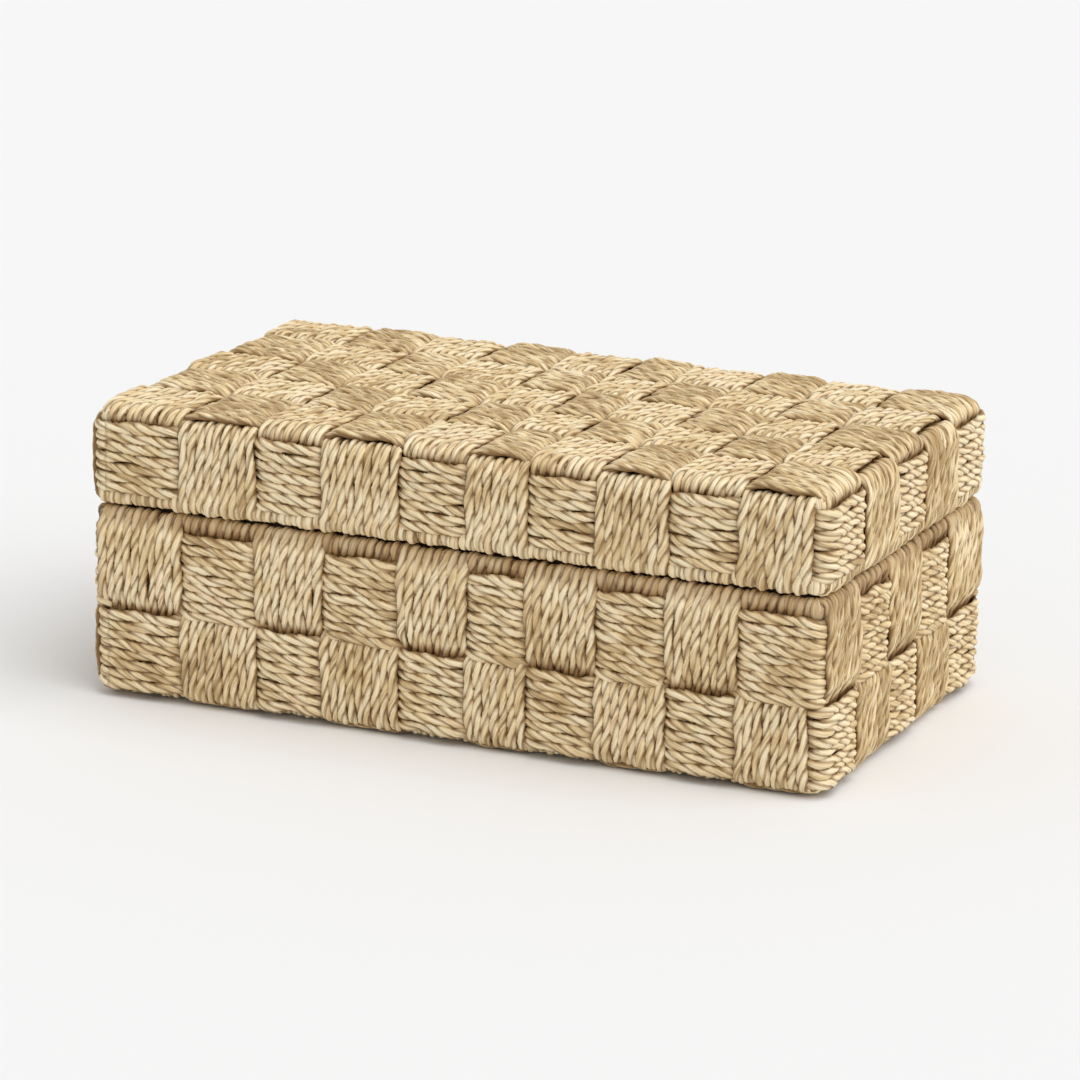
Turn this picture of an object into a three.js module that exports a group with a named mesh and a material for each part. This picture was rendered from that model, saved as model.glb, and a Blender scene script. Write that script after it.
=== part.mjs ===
// A rectangular box and its lift-off lid, plain woven from flat bands of twisted grass cord.
// Columns run front to back and rows run side to side, each from rim to rim across the closed face.
// Rings run round the walls. Every band passes over one crossing band and under the next.
// Millimetres, +Z up, front towards -Y, origin under the middle of the base.
import * as THREE from "three";

// Weave: how many cords lie side by side in each band. Columns are counted from the left, rows from
// the front and rings from the closed face.
const COLUMN_CORDS = [8, 8, 7, 8, 7, 6, 7, 7, 7, 7];
const ROW_CORDS = [7, 8, 8, 8, 8];
const BASE_RING_CORDS = [8, 8];
const LID_RING_CORDS = [7];

// Cord and clearances.
const CORD_SPACING = 4.14;
const LID_RING_CORD_SPACING = 3.85;
const BAND_THICKNESS = 3;
const LAYER_CLEARANCE = 0.3;
const SIDE_CLEARANCE = 0.27;
const SEAT_CLEARANCE = 0.3;

// Edges, tucked ends and the wooden collar.
const EDGE_RADIUS = 3;
const EDGE_HOOP_CORNER_RADIUS = 6;
const TAIL_LENGTH = 8;
const COLLAR_THICKNESS = 3;
const COLLAR_DEPTH = 16;
const COLLAR_RISE = 9;
const COLLAR_LEAD_IN = 1.2;
const COLLAR_CORNER_RADIUS = 5;

// Facets of a bend.
const HOOK_BENDS = 4;
const CORNER_BENDS = 2;
const HOOP_SIDES = 6;

// Layers: a band's middle lies one offset out of or into the weave's mid-surface.
const HALF_THICKNESS = BAND_THICKNESS / 2;
const LAYER_STEP = BAND_THICKNESS + LAYER_CLEARANCE;
const OUTER = LAYER_STEP / 2;
const INNER = -OUTER;
const TUCKED = INNER - LAYER_STEP;
const SKIN = OUTER + HALF_THICKNESS;

// A band slants through the weave at 45 degrees, between the bevelled edges of two crossing bands.
const SLANT = Math.SQRT2;
const BAND_GAP = SLANT * (BAND_THICKNESS + 2 * SIDE_CLEARANCE) - LAYER_STEP;

// The hoop is a wire as thick as a cord, so the layers stay level where a band is folded over it.
const HOOP_RADIUS = HALF_THICKNESS;
const HOOP_DROP = SLANT * (HOOP_RADIUS + LAYER_CLEARANCE + HALF_THICKNESS) - OUTER;

// The corner is as deep as the tucked ends, so those of two walls pass each other.
const CORNER_RADIUS = -TUCKED;
const CORNER_MARGIN = CORNER_RADIUS + LAYER_CLEARANCE;
const RING_START = SKIN + EDGE_RADIUS + LAYER_CLEARANCE;

const CORD_MATERIAL = { color: 0xc9b287, roughness: 0.85, metalness: 0 };
const WIRE_MATERIAL = { color: 0x6b675f, roughness: 0.45, metalness: 0.9 };
const WOOD_MATERIAL = { color: 0xb58a55, roughness: 0.7, metalness: 0 };

// Bands side by side from one edge: each one's width and middle, and the seam after it.
function sideBySide(widths, start) {
  const bands = [];
  let edge = start;
  for (const width of widths) {
    bands.push({ width, middle: edge + width / 2, seam: edge + width + BAND_GAP / 2 });
    edge += width + BAND_GAP;
  }
  return { bands, end: edge - BAND_GAP };
}

// The same about zero, with the distance from there to the mid-surface of the walls beyond.
function centred(widths) {
  const span = sideBySide(widths, 0).end;
  return { ...sideBySide(widths, -span / 2), reach: span / 2 + CORNER_MARGIN };
}

const widthsOf = (cordCounts, spacing) => cordCounts.map((count) => count * spacing);

const COLUMNS = centred(widthsOf(COLUMN_CORDS, CORD_SPACING));
const ROWS = centred(widthsOf(ROW_CORDS, CORD_SPACING));

// A wall from the closed face to its rim: rings side by side, then the hoop that carries the rim.
function wallOf(ringCords, spacing) {
  const rings = sideBySide(widthsOf(ringCords, spacing), RING_START);
  const hoop = rings.bands.at(-1).seam + HOOP_DROP;
  return { rings: rings.bands, hoop, height: hoop + LAYER_STEP + HALF_THICKNESS };
}

const BASE_WALL = wallOf(BASE_RING_CORDS, CORD_SPACING);
const LID_WALL = wallOf(LID_RING_CORDS, LID_RING_CORD_SPACING);
const HEIGHT = BASE_WALL.height + SEAT_CLEARANCE + LID_WALL.height;

// Points of the polygon drawn about an arc, so that its flats touch the arc.
function bendPoints(centre, radius, from, to, count) {
  const step = (to - from) / count;
  const reach = radius / Math.cos(step / 2);
  return Array.from({ length: count }, (_, index) => {
    const angle = from + step * (index + 0.5);
    return new THREE.Vector2(Math.cos(angle), Math.sin(angle)).multiplyScalar(reach).add(centre);
  });
}

// At each point of a path, the way out to its right, lengthened so that offset sides stay parallel.
function mitres(path, closed) {
  const last = path.length - 1;
  const sides = path.map((point, index) => {
    const next = path[index === last ? 0 : index + 1];
    return new THREE.Vector2(next.y - point.y, point.x - next.x).normalize();
  });
  return path.map((_, index) => {
    if (!closed && index === 0) return sides[0].clone();
    if (!closed && index === last) return sides[last - 1].clone();
    const before = sides[index === 0 ? last : index - 1];
    const sum = before.clone().add(sides[index]);
    return sum.multiplyScalar(2 / sum.lengthSq());
  });
}

// A solid carried along a flat path. The section's x is the offset to the right of the path,
// its y the distance across, and it runs anticlockwise.
function sweep(path, section, closed) {
  const outward = mitres(path, closed);
  const count = section.length;
  const positions = path.flatMap((point, index) =>
    section.flatMap(({ x, y }) => [
      point.x + outward[index].x * x,
      point.y + outward[index].y * x,
      y,
    ]),
  );
  const faces = [];
  const stretches = closed ? path.length : path.length - 1;
  for (let here = 0; here < stretches; here++) {
    const there = (here + 1) % path.length;
    for (let side = 0; side < count; side++) {
      const next = (side + 1) % count;
      faces.push(here * count + side, there * count + side, there * count + next);
      faces.push(here * count + side, there * count + next, here * count + next);
    }
  }
  if (!closed) {
    const farEnd = (path.length - 1) * count;
    for (const [a, b, c] of THREE.ShapeUtils.triangulateShape(section, [])) {
      faces.push(a, b, c);
      faces.push(farEnd + a, farEnd + c, farEnd + b);
    }
  }
  const geometry = new THREE.BufferGeometry();
  geometry.setAttribute("position", new THREE.Float32BufferAttribute(positions, 3));
  geometry.setIndex(faces);
  geometry.computeVertexNormals();
  return geometry;
}

// A band's section: flat, with bevelled edges where its outermost cords round off.
function bandSection(width) {
  const edge = width / 2;
  const flat = edge - HALF_THICKNESS;
  return [
    new THREE.Vector2(HALF_THICKNESS, -flat),
    new THREE.Vector2(HALF_THICKNESS, flat),
    new THREE.Vector2(0, edge),
    new THREE.Vector2(-HALF_THICKNESS, flat),
    new THREE.Vector2(-HALF_THICKNESS, -flat),
    new THREE.Vector2(0, -edge),
  ];
}

function roundSection(radius, sides) {
  return bendPoints(new THREE.Vector2(), radius * Math.cos(Math.PI / sides), 0, 2 * Math.PI, sides);
}

// A shell's section: a line in (offset, height), thickened by one band.
function shellSection(line) {
  const outward = mitres(line, false);
  const side = (distance) =>
    line.map((point, index) => point.clone().addScaledVector(outward[index], distance));
  return [...side(HALF_THICKNESS), ...side(-HALF_THICKNESS).reverse()];
}

// The fold over a rim's hoop, from outside to inside, in (offset, height).
function foldPoints(wall) {
  return bendPoints(new THREE.Vector2(INNER, wall.hoop), LAYER_STEP, 0, Math.PI, HOOK_BENDS);
}

// A band's climb from the closed face to its tucked end, in (offset, height): it slants from layer
// to layer at each seam, passes outside the hoop and ends behind the rim.
function climbPoints(wall, offsets) {
  const points = [];
  wall.rings.forEach(({ seam }, index) => {
    const below = offsets[index];
    const above = offsets[index + 1] ?? OUTER;
    if (below === above) return;
    points.push(new THREE.Vector2(below, seam - OUTER), new THREE.Vector2(above, seam + OUTER));
  });
  points.push(...foldPoints(wall));
  points.push(new THREE.Vector2(TUCKED, wall.hoop - TAIL_LENGTH));
  return points;
}

// The turn from a wall to the closed face, in (offset, height), crossing from layer to layer.
function turnPoints(wallOffset, faceOffset) {
  const centre = new THREE.Vector2(-EDGE_RADIUS, SKIN + EDGE_RADIUS);
  const half = EDGE_RADIUS * Math.SQRT1_2;
  return [
    new THREE.Vector2(wallOffset, centre.y),
    new THREE.Vector2(centre.x + half, centre.y - half),
    new THREE.Vector2(centre.x, SKIN - faceOffset),
  ];
}

// The side view of a column or row, from one tucked end across the closed face to the other.
// The three lists say in which layer it meets each crossing band.
function strapPath(reach, wall, crossing, nearOffsets, faceOffsets, farOffsets) {
  const near = ({ x, y }) => new THREE.Vector2(-reach - x, y);
  const far = ({ x, y }) => new THREE.Vector2(reach + x, y);
  const face = [];
  crossing.forEach(({ seam }, index) => {
    if (index === crossing.length - 1) return;
    face.push(new THREE.Vector2(seam - OUTER, SKIN - faceOffsets[index]));
    face.push(new THREE.Vector2(seam + OUTER, SKIN - faceOffsets[index + 1]));
  });
  return [
    ...climbPoints(wall, nearOffsets).reverse().map(near),
    ...turnPoints(nearOffsets[0], faceOffsets[0]).map(near),
    ...face,
    ...turnPoints(farOffsets[0], faceOffsets.at(-1)).reverse().map(far),
    ...climbPoints(wall, farOffsets).map(far),
  ];
}

// A loop in plan made side by side: front, right, back and left, each in (along, offset).
function loopOf(sidePoints) {
  const reaches = [COLUMNS.reach, ROWS.reach, COLUMNS.reach, ROWS.reach];
  const origin = new THREE.Vector2();
  return reaches.flatMap((reach, side) => {
    const depth = reaches[(side + 1) % reaches.length];
    const quarterTurns = (side * Math.PI) / 2;
    return sidePoints(reach, side).map(({ x, y }) =>
      new THREE.Vector2(x, -depth - y).rotateAround(origin, quarterTurns),
    );
  });
}

// A ring's loop: crossings are counted round from the left end of the front wall.
function ringPath(ringNumber) {
  let counted = 0;
  const layer = () => (++counted % 2 === ringNumber % 2 ? OUTER : INNER);
  const cornerInset = CORNER_RADIUS * (1 - Math.SQRT1_2);
  return loopOf((reach, side) => {
    const crossing = side % 2 === 0 ? COLUMNS.bands : ROWS.bands;
    const backwards = side >= 2;
    const seams = crossing.slice(0, -1).map(({ seam }) => seam);
    const along = backwards ? seams.map((seam) => -seam).reverse() : seams;
    const offsets = crossing.map(layer);
    const points = [new THREE.Vector2(CORNER_RADIUS - reach, offsets[0])];
    along.forEach((seam, index) => {
      points.push(new THREE.Vector2(seam - OUTER, offsets[index]));
      points.push(new THREE.Vector2(seam + OUTER, offsets[index + 1]));
    });
    points.push(new THREE.Vector2(reach - CORNER_RADIUS, offsets.at(-1)));
    points.push(new THREE.Vector2(reach - cornerInset, -cornerInset));
    return points;
  });
}

// A plain loop set in from the mid-surface, with rounded corners.
function hoopPath(inset, cornerRadius) {
  return loopOf((reach) => {
    const centre = new THREE.Vector2(reach - inset - cornerRadius, inset + cornerRadius);
    const corner = bendPoints(centre, cornerRadius, -Math.PI / 2, 0, CORNER_BENDS);
    return corner.map(({ x, y }) => new THREE.Vector2(x, -y));
  });
}

// The quarter turn of a corner wrap about the corner's own upright axis.
function cornerPath() {
  const centre = new THREE.Vector2();
  return [
    new THREE.Vector2(0, -CORNER_RADIUS),
    ...bendPoints(centre, CORNER_RADIUS, -Math.PI / 2, 0, CORNER_BENDS),
    new THREE.Vector2(CORNER_RADIUS, 0),
  ];
}

function piece(name, geometry, look) {
  const mesh = new THREE.Mesh(geometry, new THREE.MeshStandardMaterial(look));
  mesh.name = name;
  return mesh;
}

const X_AXIS = new THREE.Vector3(1, 0, 0);
const Y_AXIS = new THREE.Vector3(0, 1, 0);
const Z_AXIS = new THREE.Vector3(0, 0, 1);
const FRONT_TO_BACK = new THREE.Matrix4().makeBasis(Y_AXIS, Z_AXIS, X_AXIS);
const SIDE_TO_SIDE = new THREE.Matrix4().makeBasis(X_AXIS, Z_AXIS, Y_AXIS.clone().negate());

const layerFor = (sum) => (sum % 2 === 0 ? OUTER : INNER);

// Columns lie outside on a wall where column and ring numbers differ in parity, and outside on the
// closed face where column and row numbers agree.
function addColumns(half, name, wall) {
  COLUMNS.bands.forEach(({ width, middle }, index) => {
    const number = index + 1;
    const near = wall.rings.map((_, ring) => layerFor(number + ring));
    const face = ROWS.bands.map((_, row) => layerFor(number + row + 1));
    const far = wall.rings.map((_, ring) => layerFor(number + ROWS.bands.length + ring + 1));
    const path = strapPath(ROWS.reach, wall, ROWS.bands, near, face, far);
    const geometry = sweep(path, bandSection(width), false).applyMatrix4(FRONT_TO_BACK);
    const label = String(number).padStart(2, "0");
    const column = piece(`${name}_column_band_${label}`, geometry, CORD_MATERIAL);
    column.position.x = middle;
    half.add(column);
  });
}

// Rows lie in the layers that the columns leave.
function addRows(half, name, wall, labelOf) {
  ROWS.bands.forEach(({ width, middle }, index) => {
    const number = index + 1;
    const near = wall.rings.map((_, ring) => layerFor(number + ring + 1));
    const face = COLUMNS.bands.map((_, column) => layerFor(number + column));
    const far = wall.rings.map((_, ring) => layerFor(number + COLUMNS.bands.length + ring));
    const path = strapPath(COLUMNS.reach, wall, COLUMNS.bands, near, face, far);
    const geometry = sweep(path, bandSection(width), false).applyMatrix4(SIDE_TO_SIDE);
    const row = piece(`${name}_row_band_${labelOf(number)}`, geometry, CORD_MATERIAL);
    row.position.y = middle;
    half.add(row);
  });
}

function addRings(half, wall, names) {
  wall.rings.forEach(({ width, middle }, index) => {
    const ring = piece(names[index], sweep(ringPath(index + 1), bandSection(width), true), CORD_MATERIAL);
    ring.position.z = middle;
    half.add(ring);
  });
}

// Two wires: one in the fold of the rim, one inside the edge of the closed face.
function addHoops(half, name, wall) {
  const section = roundSection(HOOP_RADIUS, HOOP_SIDES);
  const rimPath = hoopPath(OUTER, CORNER_RADIUS - OUTER);
  const rimHoop = piece(`${name}_rim_hoop`, sweep(rimPath, section, true), WIRE_MATERIAL);
  rimHoop.position.z = wall.hoop;
  const edgeInset = SKIN + LAYER_CLEARANCE + HOOP_RADIUS;
  const edgePath = hoopPath(edgeInset, EDGE_HOOP_CORNER_RADIUS);
  const edgeHoop = piece(`${name}_edge_hoop`, sweep(edgePath, section, true), WIRE_MATERIAL);
  edgeHoop.position.z = SKIN + edgeInset;
  half.add(rimHoop, edgeHoop);
}

// Short cords that close each corner, over the rim and round the edge of the closed face.
function addCornerWraps(half, name, wall, labels) {
  const rimLine = [
    new THREE.Vector2(OUTER, wall.rings.at(-1).seam),
    ...foldPoints(wall).slice(0, -1),
  ];
  const edgeCentre = new THREE.Vector2(-EDGE_RADIUS, SKIN + EDGE_RADIUS);
  const edgeLine = [
    new THREE.Vector2(LAYER_CLEARANCE - CORNER_RADIUS, SKIN),
    ...bendPoints(edgeCentre, EDGE_RADIUS, -Math.PI / 2, 0, CORNER_BENDS),
    new THREE.Vector2(0, SKIN + EDGE_RADIUS),
  ];
  const shapes = {
    rim_corner_wrap: sweep(cornerPath(), shellSection(rimLine), false),
    face_corner_wrap: sweep(cornerPath(), shellSection(edgeLine), false),
  };
  const corners = [
    [1, -1],
    [1, 1],
    [-1, 1],
    [-1, -1],
  ];
  for (const [kind, geometry] of Object.entries(shapes))
    corners.forEach(([right, back], index) => {
      const wrap = piece(`${name}_${kind}_${labels[index]}`, geometry, CORD_MATERIAL);
      const toCornerX = COLUMNS.reach - CORNER_RADIUS;
      const toCornerY = ROWS.reach - CORNER_RADIUS;
      wrap.position.set(right * toCornerX, back * toCornerY, 0);
      wrap.rotation.z = (index * Math.PI) / 2;
      half.add(wrap);
    });
}

// A bent wooden strip inside the base's rim. It stands proud and leans in, to guide the lid.
function addCollar(half, wall) {
  const outerFace = HALF_THICKNESS - TUCKED + LAYER_CLEARANCE;
  const middle = outerFace + COLLAR_THICKNESS / 2;
  const edge = COLLAR_THICKNESS / 2;
  const section = [
    new THREE.Vector2(-edge, -COLLAR_DEPTH),
    new THREE.Vector2(edge, -COLLAR_DEPTH),
    new THREE.Vector2(edge, 0),
    new THREE.Vector2(edge - COLLAR_LEAD_IN, COLLAR_RISE),
    new THREE.Vector2(-edge, COLLAR_RISE),
  ];
  const path = hoopPath(middle, COLLAR_CORNER_RADIUS);
  const collar = piece("base_locating_collar", sweep(path, section, true), WOOD_MATERIAL);
  collar.position.z = wall.height;
  half.add(collar);
}

const CORNERS_FROM_FRONT_RIGHT = ["front_right", "back_right", "back_left", "front_left"];
const CORNERS_UPSIDE_DOWN = ["back_right", "front_right", "front_left", "back_left"];

const base = new THREE.Group();
addColumns(base, "base", BASE_WALL);
addRows(base, "base", BASE_WALL, (number) => number);
addRings(base, BASE_WALL, ["base_lower_ring_band", "base_upper_ring_band"]);
addHoops(base, "base", BASE_WALL);
addCornerWraps(base, "base", BASE_WALL, CORNERS_FROM_FRONT_RIGHT);
addCollar(base, BASE_WALL);

// The lid is woven the same way and turned over about its long axis, so its rows are named in reverse.
const lid = new THREE.Group();
addColumns(lid, "lid", LID_WALL);
addRows(lid, "lid", LID_WALL, (number) => ROWS.bands.length + 1 - number);
addRings(lid, LID_WALL, ["lid_ring_band"]);
addHoops(lid, "lid", LID_WALL);
addCornerWraps(lid, "lid", LID_WALL, CORNERS_UPSIDE_DOWN);
lid.rotation.x = Math.PI;
lid.position.z = HEIGHT;

const box = new THREE.Group();
box.add(base, lid);

export default box;
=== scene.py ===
from typing import NamedTuple

import bpy
import numpy as np
from mathutils import Matrix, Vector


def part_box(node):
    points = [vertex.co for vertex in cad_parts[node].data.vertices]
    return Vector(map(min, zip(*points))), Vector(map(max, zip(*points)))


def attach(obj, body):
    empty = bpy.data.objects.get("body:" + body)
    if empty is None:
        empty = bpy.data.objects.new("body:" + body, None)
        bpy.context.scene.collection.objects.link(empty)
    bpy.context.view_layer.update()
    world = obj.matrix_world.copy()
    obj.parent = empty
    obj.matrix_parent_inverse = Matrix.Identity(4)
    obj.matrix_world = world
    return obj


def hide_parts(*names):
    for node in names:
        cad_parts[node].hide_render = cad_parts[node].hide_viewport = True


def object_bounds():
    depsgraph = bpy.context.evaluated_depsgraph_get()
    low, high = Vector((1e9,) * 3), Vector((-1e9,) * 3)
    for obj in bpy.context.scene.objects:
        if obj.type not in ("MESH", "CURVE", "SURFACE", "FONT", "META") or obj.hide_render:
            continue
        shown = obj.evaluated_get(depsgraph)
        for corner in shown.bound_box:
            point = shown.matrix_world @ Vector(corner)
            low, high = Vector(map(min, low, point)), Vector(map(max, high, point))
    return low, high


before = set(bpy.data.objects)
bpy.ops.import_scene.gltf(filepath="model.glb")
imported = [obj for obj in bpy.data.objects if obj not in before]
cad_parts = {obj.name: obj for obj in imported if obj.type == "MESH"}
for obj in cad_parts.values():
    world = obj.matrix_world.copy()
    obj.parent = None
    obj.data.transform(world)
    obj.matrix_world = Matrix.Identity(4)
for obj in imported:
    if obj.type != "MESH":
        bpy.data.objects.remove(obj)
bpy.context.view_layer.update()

# Wire hoops
# Four loops of steel wire give the box its outline, one in the fold of each rim and one inside the
# edge of each closed face. Each is bent round at the corners and lacquered against rust.

NOISE_ROUGHNESS = 0.55
WIRE_SPECKS = (220, 220, 220)
WIRE_DETAIL = 3
WIRE_TONES = [(0.56, (0.045, 0.04, 0.034, 1)), (0.68, (0.19, 0.1, 0.05, 1))]
WIRE_ROUGHNESS = (0.34, 0.59)
WIRE_BUMPS = {"Strength": 0.2, "Distance": 0.0002}
WIRE_METAL = 0.4


class Value:
    """A socket's value in a material. Sums, differences and products of values add Math nodes."""

    def __init__(self, tree, socket):
        self.tree = tree
        self.socket = socket

    @classmethod
    def of(cls, tree, kind, settings=None, sockets=None, output=0):
        """A new node of that kind, with its settings first and then its sockets' values or links."""
        node = tree.nodes.new(kind)
        for name, setting in (settings or {}).items():
            setattr(node, name, setting)
        for name, value in (sockets or {}).items():
            if isinstance(value, Value):
                tree.links.new(value.socket, node.inputs[name])
            else:
                node.inputs[name].default_value = value
        return cls(tree, node.outputs[output])

    def math(self, operation, first, second):
        """A Math node on two values or numbers."""
        return Value.of(self.tree, "ShaderNodeMath", {"operation": operation}, {0: first, 1: second})

    def __add__(self, other):
        return self.math("ADD", self, other)

    def __sub__(self, other):
        return self.math("SUBTRACT", self, other)

    def __rsub__(self, other):
        return self.math("SUBTRACT", other, self)

    def __mul__(self, other):
        return self.math("MULTIPLY", self, other)

    __radd__ = __add__
    __rmul__ = __mul__


def new_finish(name):
    """An empty material with its shader: (material, tree, shader node)."""
    material = bpy.data.materials.new(name)
    material.use_nodes = True
    return material, material.node_tree, material.node_tree.nodes["Principled BSDF"]


def noise_on(tree, place, scale, detail):
    """Noise from 0 to 1 on a place that is stretched by one scale for each axis."""
    stretched = Value.of(tree, "ShaderNodeMapping", sockets={"Vector": place, "Scale": scale})
    sockets = {"Vector": stretched, "Scale": 1.0, "Detail": detail, "Roughness": NOISE_ROUGHNESS}
    return Value.of(tree, "ShaderNodeTexNoise", sockets=sockets, output="Fac")


def ramp(tree, share, tones):
    """The colour at a share, between tones that each have a place and a colour."""
    colour = Value.of(tree, "ShaderNodeValToRGB", sockets={"Fac": share})
    stops = colour.socket.node.color_ramp.elements
    while len(stops) < len(tones):
        stops.new(1.0)
    for stop, (place, tone) in zip(stops, tones):
        stop.position = place
        stop.color = tone
    return colour


def dress(shader, colour, relief, roughness, bumps):
    """Gives a shader its colour, and a roughness and bumps that follow one relief from 0 to 1."""
    tree = colour.tree
    smooth, rough = roughness
    inputs = {
        "Base Color": colour,
        "Roughness": smooth + relief * (rough - smooth),
        "Normal": Value.of(tree, "ShaderNodeBump", sockets={**bumps, "Height": relief}),
    }
    for name, value in inputs.items():
        tree.links.new(value.socket, shader.inputs[name])


def lacquered_wire():
    """Dark lacquer on steel, with brown specks where it has worn."""
    material, tree, shader = new_finish("lacquered_wire")
    place = Value.of(tree, "ShaderNodeTexCoord", output="Object")
    specks = noise_on(tree, place, WIRE_SPECKS, WIRE_DETAIL)
    dress(shader, ramp(tree, specks, WIRE_TONES), specks, WIRE_ROUGHNESS, WIRE_BUMPS)
    shader.inputs["Metallic"].default_value = WIRE_METAL
    return material


wire_finish = lacquered_wire()
for half in ("base", "lid"):
    for hoop in (f"{half}_rim_hoop", f"{half}_edge_hoop"):
        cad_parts[hoop].data.materials.clear()
        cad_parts[hoop].data.materials.append(wire_finish)

# Columns
# Ten flat bands of twisted grass cord run front to back in each half. Each cord is folded over the
# rim's hoop, goes down one wall, across the closed face and up the other wall, and is tucked in again.

# The bands' sizes in the solids
BAND_THICKNESS = 0.003
LAYER_CLEARANCE = 0.0003
HALF_STEP = (BAND_THICKNESS + LAYER_CLEARANCE) / 2
SKIN = HALF_STEP + BAND_THICKNESS / 2
EDGE_RADIUS = 0.003
TAIL_LENGTH = 0.008

# How bands rise, swell and take a painted shade where they cross, at the rim and on the closed face
EASE = 0.0062
PUFF = 0.0009
SHADE_REACH = 0.005
CLOSED_UP = 0.98
RIM_REACH = 0.011
FOLD_LAYER = {"base": 0.4, "lid": 0.9}
# A painted shadow of the lid on the base's rim: the share of each rim's fold left unshaded
RIM_UNSHADOWED = {"base": 0.2, "lid": 1.0}
FACE_DEPTH = {"base": 0.4, "lid": 1.0}

# One cord: plies twisted round a core that is pressed flat and does not turn
CORD_SPACING = 0.00414
CORD_RADIUS = 0.0024
PLIES = 3
PLY_REPEAT = 0.008
CORD_PITCH = PLY_REPEAT * PLIES
PLY_SHARE = 0.58
PLY_RADIUS = PLY_SHARE * CORD_RADIUS
PLY_OFFSET = CORD_RADIUS - PLY_RADIUS
CORE_WIDTH = 0.0031
CORE_HEIGHT = 0.0009
RIM_CORE_WIDTH = 0.0034
RIM_CORE_HEIGHT = 0.0014
SQUEEZED_WIDTH = 0.87
SQUEEZED_HEIGHT = 0.74
CORD_STEP = 0.0016
ARC_STEP = 0.0009
SECTION_POINTS = 12

# How unevenly cords are made and laid by hand
DRIFT_LENGTHS = np.array([0.019, 0.031, 0.053])
SIDE_DRIFT = 0.0007
LIFT_DRIFT = 0.0007
TWIST_DRIFT = 0.6
START_SPREAD = 0.35
PITCH_SPREAD = 0.05
SWELLING = 0.16
SEED = 11
rng = np.random.default_rng(SEED)


class Path(NamedTuple):
    """A band's route in its own plane. At each distance it has a point, the outward direction, how far
    out of the weave's middle the band lies, and how far it is hidden, from 0 to 1, which also sets a
    painted shade."""

    line: np.ndarray
    outward: np.ndarray
    distance: np.ndarray
    offset: np.ndarray
    hidden: np.ndarray

    @property
    def length(self):
        return self.distance[-1]


def route(start, heading, stretches, distance):
    """A line of straights and arcs. Each stretch is a length and the angle that it turns through, and
    its point at a distance d is the chord d*sinc(turn/2) along the heading plus half the turn."""
    lengths, turns = np.array(stretches).T
    begins = np.concatenate([[0], np.cumsum(lengths)[:-1]])
    headings = heading + np.concatenate([[0], np.cumsum(turns)[:-1]])

    def chord(index, along):
        turn = turns[index] * along / lengths[index]
        reach = along * np.sinc(turn / (2 * np.pi))
        angle = headings[index] + turn / 2
        return np.stack([reach * np.cos(angle), reach * np.sin(angle)], -1)

    steps = chord(np.arange(len(lengths)), lengths)
    corners = np.array(start) + np.concatenate([[[0, 0]], np.cumsum(steps, 0)[:-1]])
    index = np.clip(np.searchsorted(begins, distance, side="right") - 1, 0, len(lengths) - 1)
    along = distance - begins[index]
    turned = headings[index] + turns[index] * along / lengths[index]
    outward = np.stack([np.sin(turned), -np.cos(turned)], -1)
    return corners[index] + chord(index, along), outward


def places_along(stretches):
    """Distances along a route, closer together on its arcs than on its straights."""
    ends = np.cumsum([0, *(length for length, _ in stretches)])
    counts = [round(length / (ARC_STEP if turn else CORD_STEP)) for length, turn in stretches]
    parts = [np.linspace(*part, endpoint=False) for part in zip(ends, ends[1:], counts)]
    return np.concatenate([*parts, ends[-1:]])


def ease(x):
    """From 0 to 1 as x goes from -1 to 1, level at both ends."""
    t = np.clip((x + 1) / 2, 0, 1)
    return t * t * (3 - 2 * t)


def eased_layer(distance, seams, layers, reach):
    """The layer at each distance: the first one plus each step to the next, eased at its seam."""
    steps = np.diff(layers) * ease((distance[:, None] - np.array(seams)) / reach)
    return layers[0] + steps.sum(-1)


def layer_offset(distance, seams, layers):
    """How far out of the weave's middle a band lies: half a step for each layer, and swollen a little
    where it lies outside."""
    layer = eased_layer(distance, seams, layers, EASE)
    return HALF_STEP * layer + PUFF * np.clip(layer, 0, 1) ** 2


def hidden_share(distance, seams, layers):
    """How far a band has gone under the others: 0 in the open and 1 under."""
    return (1 - eased_layer(distance, seams, layers, SHADE_REACH)) / 2


def drift(cords, path, amplitude):
    """The wander of cords laid by hand: three sine waves of random phase, each whole on the length."""
    cycles = np.round(path.length / DRIFT_LENGTHS)
    phase = rng.uniform(0, 2 * np.pi, (cords, 1, len(cycles)))
    waves = np.sin(2 * np.pi * cycles * path.distance[None, :, None] / path.length + phase)
    return amplitude * waves.mean(-1)


def wander(path, across):
    """Where cords lie outward and across once each has wandered a little from its place."""
    cords = len(across)
    lift = path.offset + drift(cords, path, LIFT_DRIFT)
    return lift, across + drift(cords, path, SIDE_DRIFT)


def twist(cords, path, nesting):
    """How far the section of each cord has turned: a whole number of turns, about one in each pitch,
    from a start that steps by the nesting from cord to cord, and a slow wander."""
    spread = rng.uniform(-PITCH_SPREAD, PITCH_SPREAD, (cords, 1))
    turns = np.round(path.length / CORD_PITCH * (1 + spread))
    start = np.arange(cords)[:, None] * nesting + rng.normal(0, START_SPREAD, (cords, 1))
    lay = 2 * np.pi * turns * path.distance / path.length + start
    return lay + drift(cords, path, TWIST_DRIFT)


def cord_outline():
    """The section of a cord: a ring of circles, one for each ply, as one radius for each angle. Also
    gives the number of the ply at each angle."""
    angle = np.arange(SECTION_POINTS) * (2 * np.pi / SECTION_POINTS)
    ply = np.round(angle * PLIES / (2 * np.pi)).astype(int)
    past_middle = angle - ply * (2 * np.pi / PLIES)
    towards = PLY_OFFSET * np.cos(past_middle)
    radius = towards + np.sqrt(PLY_RADIUS**2 - (PLY_OFFSET * np.sin(past_middle)) ** 2)
    return angle, radius, ply % PLIES


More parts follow.
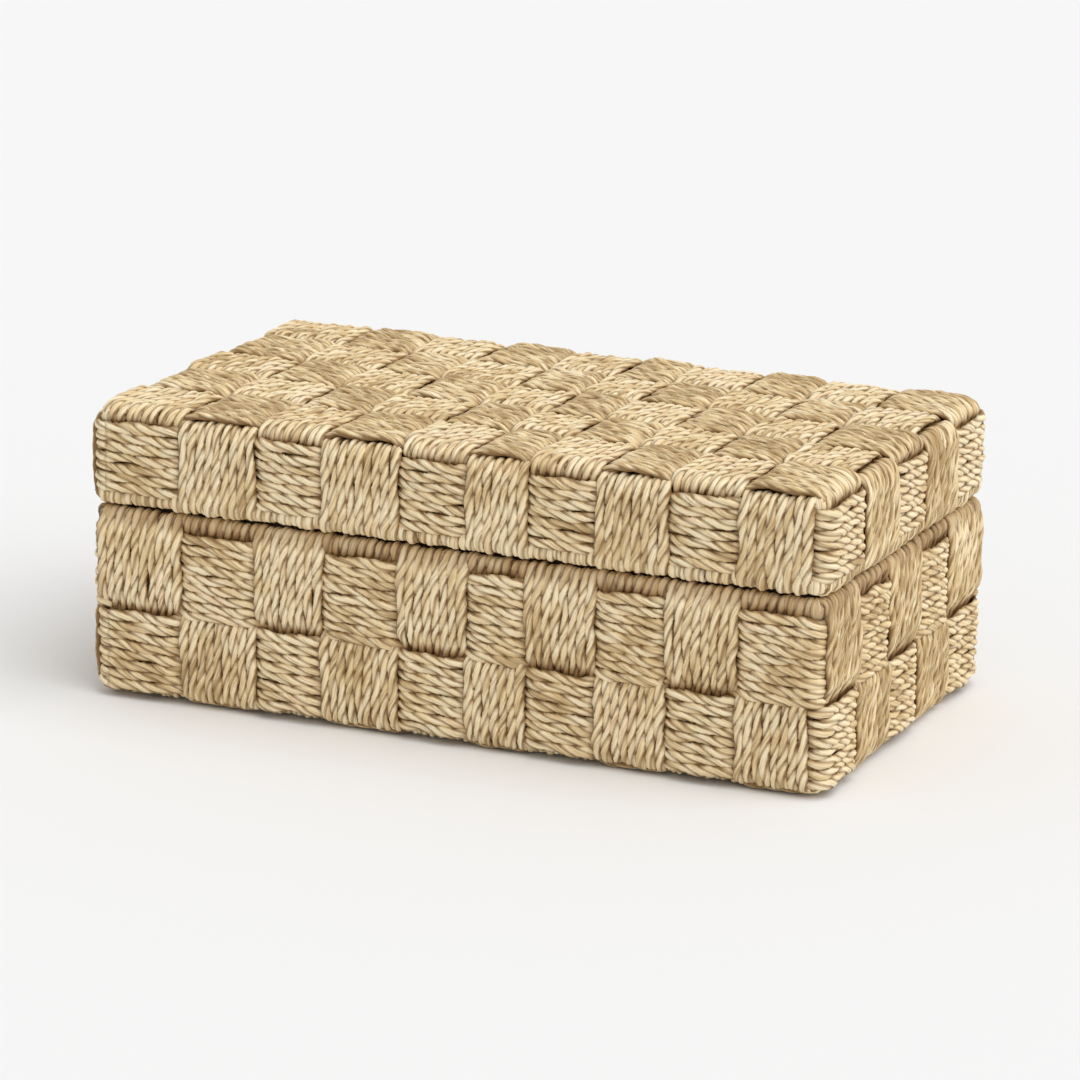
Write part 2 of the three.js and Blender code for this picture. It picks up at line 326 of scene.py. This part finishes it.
def core_radius(turned, filled):
    """The radius of the core's ellipse at each angle. It is widest where filled is 1, at the rim."""
    filled = np.reshape(filled, (-1, 1))
    width = CORE_WIDTH + (RIM_CORE_WIDTH - CORE_WIDTH) * filled
    height = CORE_HEIGHT + (RIM_CORE_HEIGHT - CORE_HEIGHT) * filled
    return 1 / np.hypot(np.cos(turned) / width, np.sin(turned) / height)


def tube_faces(cords, steps, points):
    """Corner lists of the quads along every tube, and of the caps at its two ends."""
    grid = np.arange(cords * steps * points).reshape(cords, steps, points)
    around = np.roll(grid, -1, 2)
    quads = np.stack([grid[:, :-1], around[:, :-1], around[:, 1:], grid[:, 1:]], -1).reshape(-1, 4)
    caps = np.concatenate([grid[:, 0, ::-1], grid[:, -1]])
    return quads, caps


def fill_mesh(mesh, points, quads, caps):
    """Puts points, quads and end caps into a mesh."""
    corners = np.concatenate([quads.ravel(), caps.ravel()])
    sizes = np.concatenate([np.full(len(quads), quads.shape[1]), np.full(len(caps), caps.shape[1])])
    mesh.vertices.add(len(points))
    mesh.vertices.foreach_set("co", points.ravel())
    mesh.loops.add(len(corners))
    mesh.loops.foreach_set("vertex_index", corners)
    mesh.polygons.add(len(sizes))
    mesh.polygons.foreach_set("loop_start", np.cumsum(sizes) - sizes)
    mesh.update(calc_edges=True)
    mesh.shade_smooth()


# Straw colours, the weights of what chooses among them, and the shade of grooves and hidden parts
GRASS_TONES = [
    (0.0, (0.48, 0.315, 0.125, 1)),
    (0.25, (0.75, 0.54, 0.26, 1)),
    (0.5, (0.9, 0.71, 0.41, 1)),
    (0.8, (0.97, 0.84, 0.57, 1)),
    (1.0, (0.9, 0.66, 0.39, 1)),
]
TINT_WEIGHT = 0.4
MOTTLE_WEIGHT = 1.4
PATCH_WEIGHT = 1.6
TONE_SHIFT = 1.17
FIBRE_SCALE = (110, 1100, 1100)
FIBRE_DETAIL = 3
MOTTLE_SCALE = (60, 300, 300)
MOTTLE_DETAIL = 1
PATCH_SCALE = (34, 34, 34)
PATCH_DETAIL = 2
PALE_FIBRE = (0.97, 0.84, 0.57, 1)
PALE_SLOPE = 3.2
PALE_SHIFT = 1.5
DARK_FIBRE = (0.44, 0.285, 0.11, 1)
DARK_SLOPE = 3.9
DARK_SHIFT = 1.85
# Painted shade: grooves between plies and the low sides of each cord are mixed towards brown
PAINTED_GROOVE_SHADE = (0.24, 0.122, 0.027, 1)
GROOVE_SLOPE = 2.1
GROOVE_SHIFT = 1.5
GROOVE_MOST = 0.92
# Painted shade: a brown multiplied in where a band goes under others and on the base's rim
SHADE_BROWN = (0.46, 0.33, 0.19, 1)
SHADE_FROM = 0.06
SHADE_TO = 0.7
GRASS_ROUGHNESS = (0.5, 0.8)
GRASS_BUMPS = {"Strength": 0.6, "Distance": 0.0004}
GRASS_SHEEN = 0.8
MIX_SHARE, MIX_FIRST, MIX_SECOND = 0, 6, 7
MIX_COLOUR = 2


def blend_colours(tree, share, first, second, blend_type="MIX"):
    """Two colours mixed by a share. A Mix node's sockets for colours can be told only by number."""
    settings = {"data_type": "RGBA", "blend_type": blend_type}
    sockets = {MIX_SHARE: share, MIX_FIRST: first, MIX_SECOND: second}
    return Value.of(tree, "ShaderNodeMix", settings, sockets, output=MIX_COLOUR)


def kept_with_points(tree, name, output="Fac"):
    """What the points of a mesh keep under a name."""
    return Value.of(tree, "ShaderNodeAttribute", {"attribute_name": name}, output=output)


def grass_cord():
    """Dry twisted grass. A weighted sum of the ply's tint and two noises chooses the straw colour, pale
    and dark fibres run along it, a brown painted shade darkens the grooves, and a brown painted shade is
    multiplied in where the cord is hidden under other bands and on the base's rim."""
    material, tree, shader = new_finish("grass_cord")
    place = kept_with_points(tree, "untwisted", "Vector")
    spot = Value.of(tree, "ShaderNodeTexCoord", output="Object")
    fibres = noise_on(tree, place, FIBRE_SCALE, FIBRE_DETAIL)
    mottle = noise_on(tree, place, MOTTLE_SCALE, MOTTLE_DETAIL)
    patches = noise_on(tree, spot, PATCH_SCALE, PATCH_DETAIL)
    tone = kept_with_points(tree, "tint") * TINT_WEIGHT + mottle * MOTTLE_WEIGHT
    straw = ramp(tree, tone + patches * PATCH_WEIGHT - TONE_SHIFT, GRASS_TONES)
    streaked = blend_colours(tree, fibres * PALE_SLOPE - PALE_SHIFT, straw, PALE_FIBRE)
    fibred = blend_colours(tree, DARK_SHIFT - fibres * DARK_SLOPE, streaked, DARK_FIBRE)
    # Painted shade in the grooves, stronger the lower a point lies in its cord
    below_crest = GROOVE_SHIFT - kept_with_points(tree, "crest") * GROOVE_SLOPE
    groove_range = {"Value": below_crest, "Min": 0.0, "Max": GROOVE_MOST}
    groove_shade_share = Value.of(tree, "ShaderNodeClamp", sockets=groove_range)
    with_groove_shade = blend_colours(tree, groove_shade_share, fibred, PAINTED_GROOVE_SHADE)
    smooth_step = {"interpolation_type": "SMOOTHSTEP"}
    # Painted shade, multiplied in as far as the cord is hidden
    hidden = kept_with_points(tree, "hidden")
    shade_range = {"Value": hidden, "From Min": SHADE_FROM, "From Max": SHADE_TO}
    shade = Value.of(tree, "ShaderNodeMapRange", smooth_step, shade_range)
    colour = blend_colours(tree, shade, with_groove_shade, SHADE_BROWN, "MULTIPLY")
    dress(shader, colour, fibres, GRASS_ROUGHNESS, GRASS_BUMPS)
    shader.inputs["Specular IOR Level"].default_value = GRASS_SHEEN
    return material


grass_finish = grass_cord()

# What the points of a cord keep for its finish
HEIGHT_SHARE = 0.54
BAND_TONES = 0.11
NOISE_ROOM = 400
CORD_SPACE = 0.05


def lay_cords(node, half, path, lift, across, axes, origin, tone=0.0, nesting=0.0, filled=0.0):
    """A band of twisted cords in place of a solid. A point is the cord's place in the plane of the path,
    moved outward by the section's height and sideways by its width, and turned to the box by the axes.
    The section is the larger of the turning plies and the core. Each point keeps its place on the
    untwisted cord, a crest that is high on top of a ply and sets the painted shade of the grooves, its
    ply's tint, and how far it is hidden, which sets a painted shade."""
    cords = len(across)
    line = path.line + path.outward * lift[..., None]
    along = np.gradient(line, axis=1)
    along /= np.linalg.norm(along, axis=-1, keepdims=True)
    outward = np.stack([along[..., 1], -along[..., 0]], -1)
    angle, radius, ply = cord_outline()
    turned = angle + twist(cords, path, nesting)[..., None]
    swelling = 1 + drift(cords, path, SWELLING)
    size = np.maximum(radius, core_radius(turned, filled)) * swelling[..., None]
    wide = size * np.cos(turned)
    high = size * np.sin(turned)
    flat = line[:, :, None] + outward[:, :, None] * (high * SQUEEZED_HEIGHT)[..., None]
    sideways = across[..., None] + wide * SQUEEZED_WIDTH
    points = np.array(origin) + np.concatenate([flat, sideways[..., None]], -1) @ axes
    mesh = bpy.data.meshes.new(f"{node}_cords")
    fill_mesh(mesh, points.reshape(-1, 3), *tube_faces(*size.shape))

    number = rng.uniform(0, NOISE_ROOM, (cords, 1, 1))
    untwisted = np.broadcast_arrays(
        path.distance[:, None] + number,
        radius * np.cos(angle) + CORD_SPACE * number,
        radius * np.sin(angle),
    )
    # The crest is low in grooves and on a cord's lower side, where it sets the painted groove shade
    out_of_groove = (radius - radius.min()) / np.ptp(radius)
    crest = (1 - HEIGHT_SHARE) * out_of_groove + HEIGHT_SHARE * high / CORD_RADIUS
    own_tone = tone + rng.normal(0, BAND_TONES)
    tints = rng.uniform(own_tone, own_tone + 1, (cords, 1, PLIES))
    place = mesh.attributes.new("untwisted", "FLOAT_VECTOR", "POINT")
    place.data.foreach_set("vector", np.stack(untwisted, -1).ravel())
    numbers = {"crest": crest, "tint": tints[..., ply], "hidden": path.hidden[:, None]}
    for name, values in numbers.items():
        attribute = mesh.attributes.new(name, "FLOAT", "POINT")
        attribute.data.foreach_set("value", np.broadcast_to(values, size.shape).ravel())

    piece = bpy.data.objects.new(f"{node}_cords", mesh)
    bpy.context.scene.collection.objects.link(piece)
    mesh.materials.append(grass_finish)
    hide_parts(node)
    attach(piece, half.name)


X, Y, Z = range(3)
COLUMNS = range(1, 11)
ROWS = range(1, 6)
RING_NODES = {"base": ["base_lower_ring_band", "base_upper_ring_band"], "lid": ["lid_ring_band"]}
COLUMN_NODES = {half: [f"{half}_column_band_{n:02d}" for n in COLUMNS] for half in RING_NODES}
ROW_NODES = {half: [f"{half}_row_band_{n}" for n in ROWS] for half in RING_NODES}


def edges(node, axis):
    """A node's lowest and highest place on one axis."""
    low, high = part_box(node)
    return np.array([low[axis], high[axis]])


def seams_between(nodes, axis):
    """The places halfway between neighbouring bands."""
    spans = np.array([edges(node, axis) for node in nodes])
    return (spans[:-1, 1] + spans[1:, 0]) / 2


BAND_GAP = edges("base_column_band_02", X)[0] - edges("base_column_band_01", X)[1]


class Half:
    """The base or the lid, with heights measured from its closed face towards its rim: where its bands
    begin and meet, how high its hoop lies, and how far out the weave's middle reaches."""

    def __init__(self, name):
        self.name = name
        self.up = 1 if name == "base" else -1
        columns = COLUMN_NODES[name]
        rows = ROW_NODES[name]
        rings = RING_NODES[name]
        self.ring_numbers = range(1, len(rings) + 1)
        self.face_level = edges(columns[0], Z)[0 if self.up > 0 else 1]
        spans = [np.sort(self.height(edges(node, Z))) for node in rings]
        self.ring_start = spans[0][0]
        self.ring_seams = [(low[1] + high[0]) / 2 for low, high in zip(spans, spans[1:])]
        self.ring_seams.append(spans[-1][1] + BAND_GAP / 2)
        self.hoop = self.height(edges(f"{name}_rim_hoop", Z).mean())
        self.reach = [edges(rings[0], axis)[1] - SKIN for axis in (X, Y)]
        self.face_seams = [seams_between(columns, X), seams_between(rows, Y)]
        firsts = [edges(columns[0], X)[0], edges(rows[0], Y)[0]]
        self.face_begin = [first - BAND_GAP / 2 for first in firsts]

    def height(self, level):
        return (level - self.face_level) * self.up


def strap_path(half, axis, near, face, far):
    """A column's or row's side view from tail to tail: fold, wall, edge, face, edge, wall and fold.
    The three lists say whether it lies outside (1) or inside (-1) at each band that it crosses."""
    reach = half.reach[axis]
    fold = (np.pi * HALF_STEP, np.pi)
    edge = (np.pi / 2 * EDGE_RADIUS, np.pi / 2)
    wall = (half.hoop - SKIN - EDGE_RADIUS, 0)
    flat = (2 * (reach - EDGE_RADIUS), 0)
    tail = (TAIL_LENGTH, 0)
    stretches = [tail, fold, wall, edge, flat, edge, wall, fold, tail]
    distance = places_along(stretches)
    start = (2 * HALF_STEP - reach, half.hoop - TAIL_LENGTH)
    line, outward = route(start, np.pi / 2, stretches, distance)

    wall_top = TAIL_LENGTH + fold[0]
    edge_start = wall_top + wall[0]
    face_middle = distance[-1] / 2
    wall_seams = [wall_top + half.hoop - seam for seam in half.ring_seams][::-1]
    face_seams = face_middle + half.face_seams[axis]

    def both_ends(seams):
        return [*seams, *face_seams, *(distance[-1] - np.array(seams)[::-1])]

    fold_layer = FOLD_LAYER[half.name]
    face_layers = [FACE_DEPTH[half.name] * layer for layer in face]
    layers = [fold_layer, *near[::-1], *face_layers, *far, fold_layer]
    offset = layer_offset(distance, both_ends([*wall_seams, edge_start + edge[0] / 2]), layers)
    last_ring = wall_top + half.hoop - half.ring_start + BAND_GAP / 2
    first_crossing = face_middle + half.face_begin[axis]
    # The rim's share sets a painted shadow of the lid on the base's folds
    rim = RIM_UNSHADOWED[half.name]
    openness = [rim, *near[::-1], 1, *face, 1, *far, rim]
    hidden = hidden_share(distance, both_ends([*wall_seams, last_ring, first_crossing]), openness)
    return Path(line, outward, distance, offset, hidden)


def cord_places(node, axis, side, spread, toward_corner):
    """The middle of a band, and how far across from it each cord lies: evenly, a little closed up where
    the spread is 0, and out to the middle of the gaps beside the band where it is 1. An end band can
    have one more cord on its corner side."""
    low, high = edges(node, axis)
    count = round((high - low) / CORD_SPACING) + 1
    numbers = np.arange(count) - (count - 1) / 2
    if toward_corner:
        numbers = np.sort(np.append(numbers, toward_corner * side * (count + 1) / 2))
    opened = 1 + BAND_GAP / (high - low)
    width = (high - low) * (CLOSED_UP + (opened - CLOSED_UP) * spread)
    return (low + high) / 2, numbers[:, None] / count * width


def lay_strap(node, half, axis, across_axis, layers, toward_corner, tone=0.0):
    """One column or row: its cords on its side view, in the frame of the box."""
    path = strap_path(half, axis, *layers)
    along = np.eye(3)[axis]
    up = np.array([0, 0, half.up])
    sideways = np.cross(along, up)
    to_end = np.minimum(path.distance, path.length - path.distance)
    at_rim = 1 - ease((to_end - TAIL_LENGTH - np.pi * HALF_STEP - RIM_REACH) / EASE)
    spread = np.maximum(1 - path.hidden, at_rim)
    side = sideways[across_axis]
    middle, across = cord_places(node, across_axis, side, spread, toward_corner)
    origin = middle * np.eye(3)[across_axis] + np.array([0, 0, half.face_level])
    axes = np.stack([along, up, sideways])
    lay_cords(node, half, path, *wander(path, across), axes, origin, tone, filled=at_rim)


def over(number):
    """1, outside, for an even number and -1, inside, for an odd one."""
    return 1 - 2 * (number % 2)


# The end bands that have one more cord, and on which side
COLUMN_CORNERS = {1: -1}

halves = [Half("base"), Half("lid")]
for half in halves:
    for column, node in enumerate(COLUMN_NODES[half.name], 1):
        wall = [over(column + ring + 1) for ring in half.ring_numbers]
        face = [over(column + row) for row in ROWS]
        lay_strap(node, half, Y, X, (wall, face, wall), COLUMN_CORNERS.get(column, 0))

# Rows
# Five bands of the same cord run side to side, over one column and under the next, and are folded
# over the rim's hoop at both ends as the columns are. Their straw colour is shifted browner as a
# painted shade, for the light falling less on them than on the columns.

# Painted shade: the rows' straw colour is shifted browner than the columns'
ROW_PAINTED_SHADE = -0.75
ROW_CORNERS = {1: -1, 5: 1}

for half in halves:
    for row, node in enumerate(ROW_NODES[half.name], 1):
        left = [over(row + ring) for ring in half.ring_numbers]
        right = [over(row + ring + 1) for ring in half.ring_numbers]
        face = [over(column + row + 1) for column in COLUMNS]
        lay_strap(node, half, X, Y, (left, face, right), ROW_CORNERS.get(row, 0), ROW_PAINTED_SHADE)

# Rings
# Bands of cord run round the walls, two on the base and one on the lid, over one strap and under the
# next. Their ends are spliced out of sight behind a strap.

CORNER_RADIUS = 0.00495
RING_NESTING = -0.65
RING_FILLED = 0.2
RING_CORDS_ADDED = {"base_upper_ring_band": 1}
RING_SAG = {
    "base_lower_ring_band": (-0.0024, -0.0018),
    "base_upper_ring_band": (-0.0034, 0.0),
    "lid_ring_band": (-0.003, 0.0),
}


def evenly_along(stretches, step):
    """Distances along a route, about one step apart."""
    length = sum(stretch for stretch, _ in stretches)
    return np.linspace(0, length, round(length / step) + 1)


def ring_path(half, ring):
    """A ring's plan: front, right, back and left wall, with a corner after each. A ring that is outside
    on one of a corner's two walls stays outside round the whole corner."""
    sides = [2 * (reach - CORNER_RADIUS) for reach in half.reach] * 2
    corner = (np.pi / 2 * CORNER_RADIUS, np.pi / 2)
    stretches = [stretch for side in sides for stretch in ((side, 0), corner)]
    distance = evenly_along(stretches, CORD_STEP)
    start = (CORNER_RADIUS - half.reach[X], -half.reach[Y])
    line, outward = route(start, 0, stretches, distance)

    front = [over(column + ring) for column in COLUMNS]
    right = [over(row + ring) for row in ROWS]
    left = [over(row + ring + 1) for row in ROWS]
    walls = [front, right, front[::-1], left[::-1]]
    crossings = [*half.face_seams, *(-seams[::-1] for seams in half.face_seams)]
    seams = []
    open_seams = []
    openness = [1]
    begin = 0
    for number, (wall, side, crossing) in enumerate(zip(walls, sides, crossings)):
        places = begin + side / 2 + crossing
        margin = side / 2 + half.face_begin[number % 2]
        open_seams.extend([begin + margin, *places, begin + side - margin])
        openness.extend([*wall, 1])
        begin += side + corner[0]
        turned_in = (wall[-1] - walls[number - 3][0]) / 2
        seams.extend([*places, begin - corner[0] / 2 * (1 - turned_in)])
    wrapped = [seams[-1] - distance[-1], *seams]
    layers = [left[0], *sum(walls, []), front[0]]
    offset = layer_offset(distance, wrapped, layers)
    return Path(line, outward, distance, offset, hidden_share(distance, open_seams, openness))


for half in halves:
    for ring, node in zip(half.ring_numbers, RING_NODES[half.name]):
        path = ring_path(half, ring)
        low, high = edges(node, Z)
        count = round((high - low) / CORD_SPACING) + RING_CORDS_ADDED.get(node, 0)
        low, high = np.array([low, high]) + RING_SAG[node]
        numbers = np.arange(count) - (count - 1) / 2
        across = numbers[:, None] * (high - low) / count * np.ones(len(path.distance))
        lift, across = wander(path, across)
        origin = (0, 0, (low + high) / 2)
        lay_cords(
            node, half, path, lift, across, np.eye(3), origin, nesting=RING_NESTING, filled=RING_FILLED
        )

# Corner wraps
# Short cords close the eight corners of each half: a fan over the hoop at each corner of the rim, and
# a fan round the edge at each corner of the closed face. Their ends are tucked under the ring.

FAN_CORDS = 5
FAN_ANGLES = (np.arange(FAN_CORDS) + 0.5) * (np.pi / 2 / FAN_CORDS)
FAN_STEP = CORD_STEP / 2
FAN_TUCK = 0.004
FAN_REACH = 0.0008
FAN_FOLD = np.radians(150)


def rim_fan_path(half):
    """A rim wrap's side view: from under the ring up its wall and over the hoop."""
    start = half.ring_seams[-1] - FAN_TUCK
    stretches = [(half.hoop - start, 0), (FAN_FOLD * HALF_STEP, FAN_FOLD)]
    distance = evenly_along(stretches, FAN_STEP)
    rise = (1 + FOLD_LAYER[half.name]) * ease((distance - FAN_TUCK) / FAN_TUCK)
    # The base's rim wraps get the same painted shadow of the lid as its folds
    hidden = np.full(len(distance), (1 - RIM_UNSHADOWED[half.name]) / 2)
    line, outward = route((CORNER_RADIUS, start), np.pi / 2, stretches, distance)
    return Path(line, outward, distance, HALF_STEP * (rise - 1), hidden)


def face_fan_path(half):
    """A face wrap's side view: from the closed face round the edge and down under the ring."""
    stretches = [
        (CORNER_RADIUS - EDGE_RADIUS - FAN_REACH, 0),
        (np.pi / 2 * EDGE_RADIUS, np.pi / 2),
        (half.ring_start + FAN_TUCK - SKIN - EDGE_RADIUS, 0),
    ]
    distance = evenly_along(stretches, FAN_STEP)
    offset = -HALF_STEP * ease((distance - distance[-1] + FAN_TUCK) / FAN_TUCK)
    line, outward = route((FAN_REACH, SKIN), 0, stretches, distance)
    return Path(line, outward, distance, offset, np.zeros(len(distance)))


def lay_fan(node, half, right, back, path):
    """Five cords in upright planes through the corner's own axis."""
    turned = [(np.cos(angle) * right, np.sin(angle) * back, 0) for angle in FAN_ANGLES]
    up = np.array([0, 0, half.up])
    axes = np.stack([np.stack([way, up, np.cross(way, up)]) for way in turned])[:, None]
    corner = [right * (half.reach[X] - CORNER_RADIUS), back * (half.reach[Y] - CORNER_RADIUS)]
    lift = np.tile(path.offset, (FAN_CORDS, 1))
    lay_cords(node, half, path, lift, np.zeros_like(lift), axes, (*corner, half.face_level))


for half in halves:
    rim_path = rim_fan_path(half)
    face_path = face_fan_path(half)
    for right, side in ((1, "right"), (-1, "left")):
        for back, end in ((1, "back"), (-1, "front")):
            lay_fan(f"{half.name}_rim_corner_wrap_{end}_{side}", half, right, back, rim_path)
            lay_fan(f"{half.name}_face_corner_wrap_{end}_{side}", half, right, back, face_path)

# Locating collar
# A thin strip of dark stained wood, steamed and bent into a loop, stands inside the base's rim. It
# rises a little above the rim and leans in, so that the lid drops over it.

GRAIN_SCALE = (26, 26, 1500)
GRAIN_DETAIL = 4
FIGURE_SCALE = (9, 9, 160)
FIGURE_DETAIL = 2
GRAIN_WEIGHT = 0.55
FIGURE_WEIGHT = 0.45
WOOD_TONES = [
    (0.3, (0.05, 0.028, 0.014, 1)),
    (0.52, (0.085, 0.048, 0.024, 1)),
    (0.7, (0.12, 0.07, 0.036, 1)),
]
WOOD_ROUGHNESS = (0.5, 0.75)
WOOD_BUMPS = {"Strength": 0.25, "Distance": 0.0002}


def bent_wood():
    """Sanded and stained wood with its grain along the strip."""
    material, tree, shader = new_finish("bent_wood")
    place = Value.of(tree, "ShaderNodeTexCoord", output="Object")
    grain = noise_on(tree, place, GRAIN_SCALE, GRAIN_DETAIL)
    figure = noise_on(tree, place, FIGURE_SCALE, FIGURE_DETAIL)
    colour = ramp(tree, grain * GRAIN_WEIGHT + figure * FIGURE_WEIGHT, WOOD_TONES)
    dress(shader, colour, grain, WOOD_ROUGHNESS, WOOD_BUMPS)
    return material


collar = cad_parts["base_locating_collar"]
collar.data.materials.clear()
collar.data.materials.append(bent_wood())

# Floor, light and camera
# A plain pale floor under soft studio light: a wide lamp overhead to the right and an even sky. The
# camera stands in front and to the right, a little above the box.

FLOOR_SIZE = 30.0
FLOOR_COLOUR = (0.888, 0.888, 0.888, 1)
FLOOR_ROUGHNESS = 0.9
SKY_COLOUR = (0.93, 0.93, 0.93, 1)
SKY_STRENGTH = 0.65
LAMP_STRENGTH = 1.68
LAMP_SPREAD = np.radians(60)
LAMP_DIRECTION = np.array([0.56, -0.12, 0.8])
TARGET = np.array([0, 0, 0.0625])
AZIMUTH, ELEVATION, ROLL = np.radians([24.336, 15.417, 0.653])
DISTANCE = 2.03
SENSOR_WIDTH = 36
LENS = 160.3
SIDE_SHIFT = 0.0004
RISE_SHIFT = -0.00199

floor_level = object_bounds()[0].z
corners = np.array([(-1, -1), (1, -1), (1, 1), (-1, 1)]) * FLOOR_SIZE / 2
floor_mesh = bpy.data.meshes.new("floor")
floor_mesh.from_pydata([(x, y, floor_level) for x, y in corners], [], [(0, 1, 2, 3)])
floor = bpy.data.objects.new("floor", floor_mesh)
bpy.context.scene.collection.objects.link(floor)
floor_paint, _, floor_shader = new_finish("floor_paint")
floor_shader.inputs["Base Color"].default_value = FLOOR_COLOUR
floor_shader.inputs["Roughness"].default_value = FLOOR_ROUGHNESS
floor_mesh.materials.append(floor_paint)

# The sky lights the box at its own strength, and is plain where it is seen or mirrored
world = bpy.data.worlds.new("sky")
bpy.context.scene.world = world
world.use_nodes = True
sky = world.node_tree
seen = Value.of(sky, "ShaderNodeLightPath", output="Is Camera Ray")
mirrored = Value.of(sky, "ShaderNodeLightPath", output="Is Glossy Ray")
plain = seen.math("MAXIMUM", seen, mirrored)
strength = SKY_STRENGTH + plain * (1 - SKY_STRENGTH)
backdrop = sky.nodes["Background"]
backdrop.inputs["Color"].default_value = SKY_COLOUR
sky.links.new(strength.socket, backdrop.inputs["Strength"])

lamp_data = bpy.data.lights.new("overhead_lamp", "SUN")
lamp_data.energy = LAMP_STRENGTH
lamp_data.angle = LAMP_SPREAD
lamp = bpy.data.objects.new("overhead_lamp", lamp_data)
bpy.context.scene.collection.objects.link(lamp)


def aim(thing, place, right, up):
    """Puts a lamp or camera at a place, with its own right and up directions."""
    turned = np.eye(4)
    turned[:3, :3] = np.stack([right, up, np.cross(right, up)], 1)
    turned[:3, 3] = place
    thing.matrix_world = Matrix(turned.tolist())


def level_directions(back):
    """The right and up directions of something that looks against back and stands level."""
    right = np.cross([0, 0, 1], back)
    right /= np.linalg.norm(right)
    return right, np.cross(back, right)


lamp_back = LAMP_DIRECTION / np.linalg.norm(LAMP_DIRECTION)
aim(lamp, lamp_back, *level_directions(lamp_back))

flat = np.cos(ELEVATION)
back = np.array([np.sin(AZIMUTH) * flat, -np.cos(AZIMUTH) * flat, np.sin(ELEVATION)])
level_right, level_up = level_directions(back)
right = level_right * np.cos(ROLL) + level_up * np.sin(ROLL)
up = level_up * np.cos(ROLL) - level_right * np.sin(ROLL)
camera_data = bpy.data.cameras.new("camera")
camera_data.sensor_width = SENSOR_WIDTH
camera_data.lens = LENS
camera = bpy.data.objects.new("camera", camera_data)
bpy.context.scene.collection.objects.link(camera)
aim(camera, TARGET + back * DISTANCE - right * SIDE_SHIFT - up * RISE_SHIFT, right, up)
bpy.context.scene.camera = camera
bpy.context.scene.view_settings.view_transform = "Standard"
